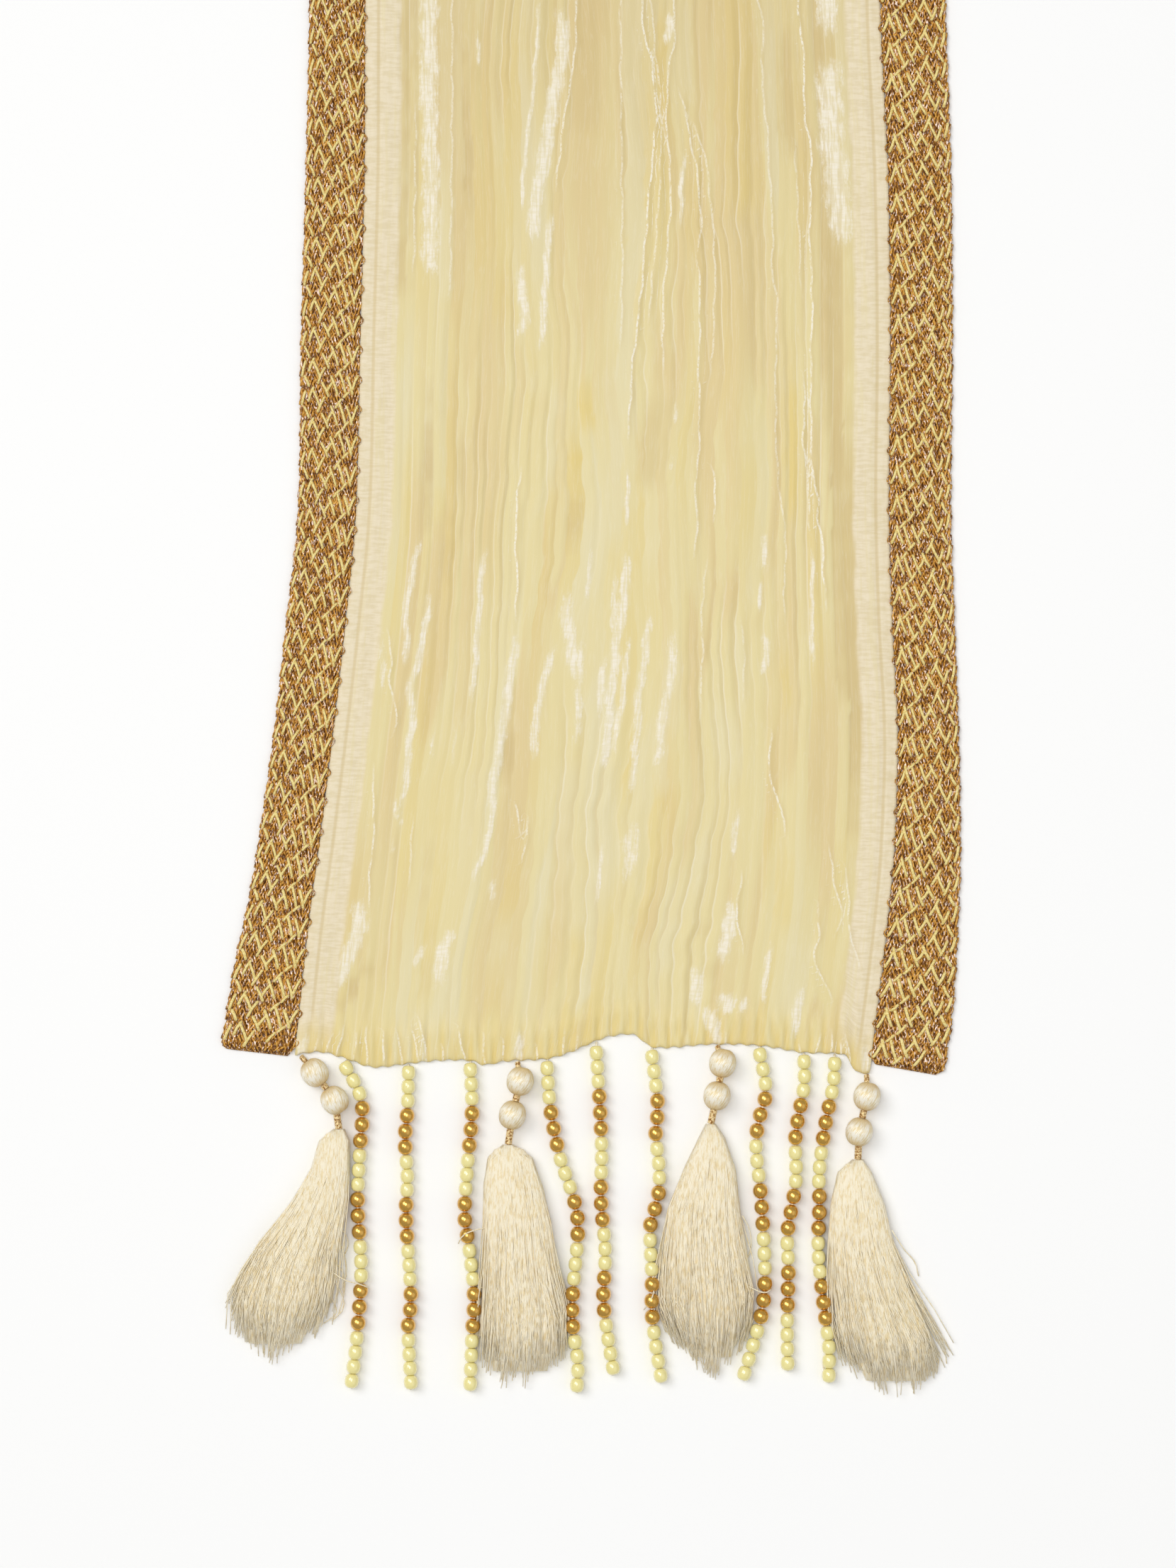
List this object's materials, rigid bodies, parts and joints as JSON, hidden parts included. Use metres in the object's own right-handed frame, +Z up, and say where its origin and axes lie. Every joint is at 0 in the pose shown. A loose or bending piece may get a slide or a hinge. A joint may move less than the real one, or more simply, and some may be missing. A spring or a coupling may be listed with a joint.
{
  "type": "dupatta stole",
  "caption": "Long narrow stole of crinkled velvet laid flat, with plaited gold braid along both edges and a fringe of bead strings and silk tassels at one end.",
  "frame": {"origin": "middle of the stole's footprint, on the surface that it lies on", "axes": "+Y along the stole from the fringed end to the plain end, +X across it, +Z up from the surface"},
  "size_m": [0.3117, 2.1439, 0.0116],
  "materials": {
    "crinkled_velvet": "crinkled silk velvet, pale lemon, sheen on the crushed pile",
    "gold_braid": "plaited metallic thread, antique gold, with yellow cords",
    "beads": "glossy pearl beads, lemon and gold",
    "wrapped_silk": "ivory silk thread wrapped from pole to pole",
    "gold_wire": "fine gold wire wrapping",
    "tassel_silk": "loose ivory silk thread"
  },
  "bodies": {
    "root": {"velvet_panel": "crinkled_velvet", "braid_left": "gold_braid", "braid_right": "gold_braid", "bead_string_1": "beads", "bead_string_2": "beads", "bead_string_3": "beads", "bead_string_4": "beads", "bead_string_5": "beads", "bead_string_6": "beads", "bead_string_7": "beads", "bead_string_8": "beads", "bead_string_9": "beads", "ball_1_upper": "wrapped_silk", "ball_1_lower": "wrapped_silk", "ball_2_upper": "wrapped_silk", "ball_2_lower": "wrapped_silk", "ball_3_upper": "wrapped_silk", "ball_3_lower": "wrapped_silk", "ball_4_upper": "wrapped_silk", "ball_4_lower": "wrapped_silk", "neck_1_tie": "gold_wire", "neck_1_middle": "gold_wire", "neck_1_lower": "gold_wire", "neck_2_tie": "gold_wire", "neck_2_middle": "gold_wire", "neck_2_lower": "gold_wire", "neck_3_tie": "gold_wire", "neck_3_middle": "gold_wire", "neck_3_lower": "gold_wire", "neck_4_tie": "gold_wire", "neck_4_middle": "gold_wire", "neck_4_lower": "gold_wire", "tassel_1": "tassel_silk", "tassel_2": "tassel_silk", "tassel_3": "tassel_silk", "tassel_4": "tassel_silk"}
  },
  "joints": []
}
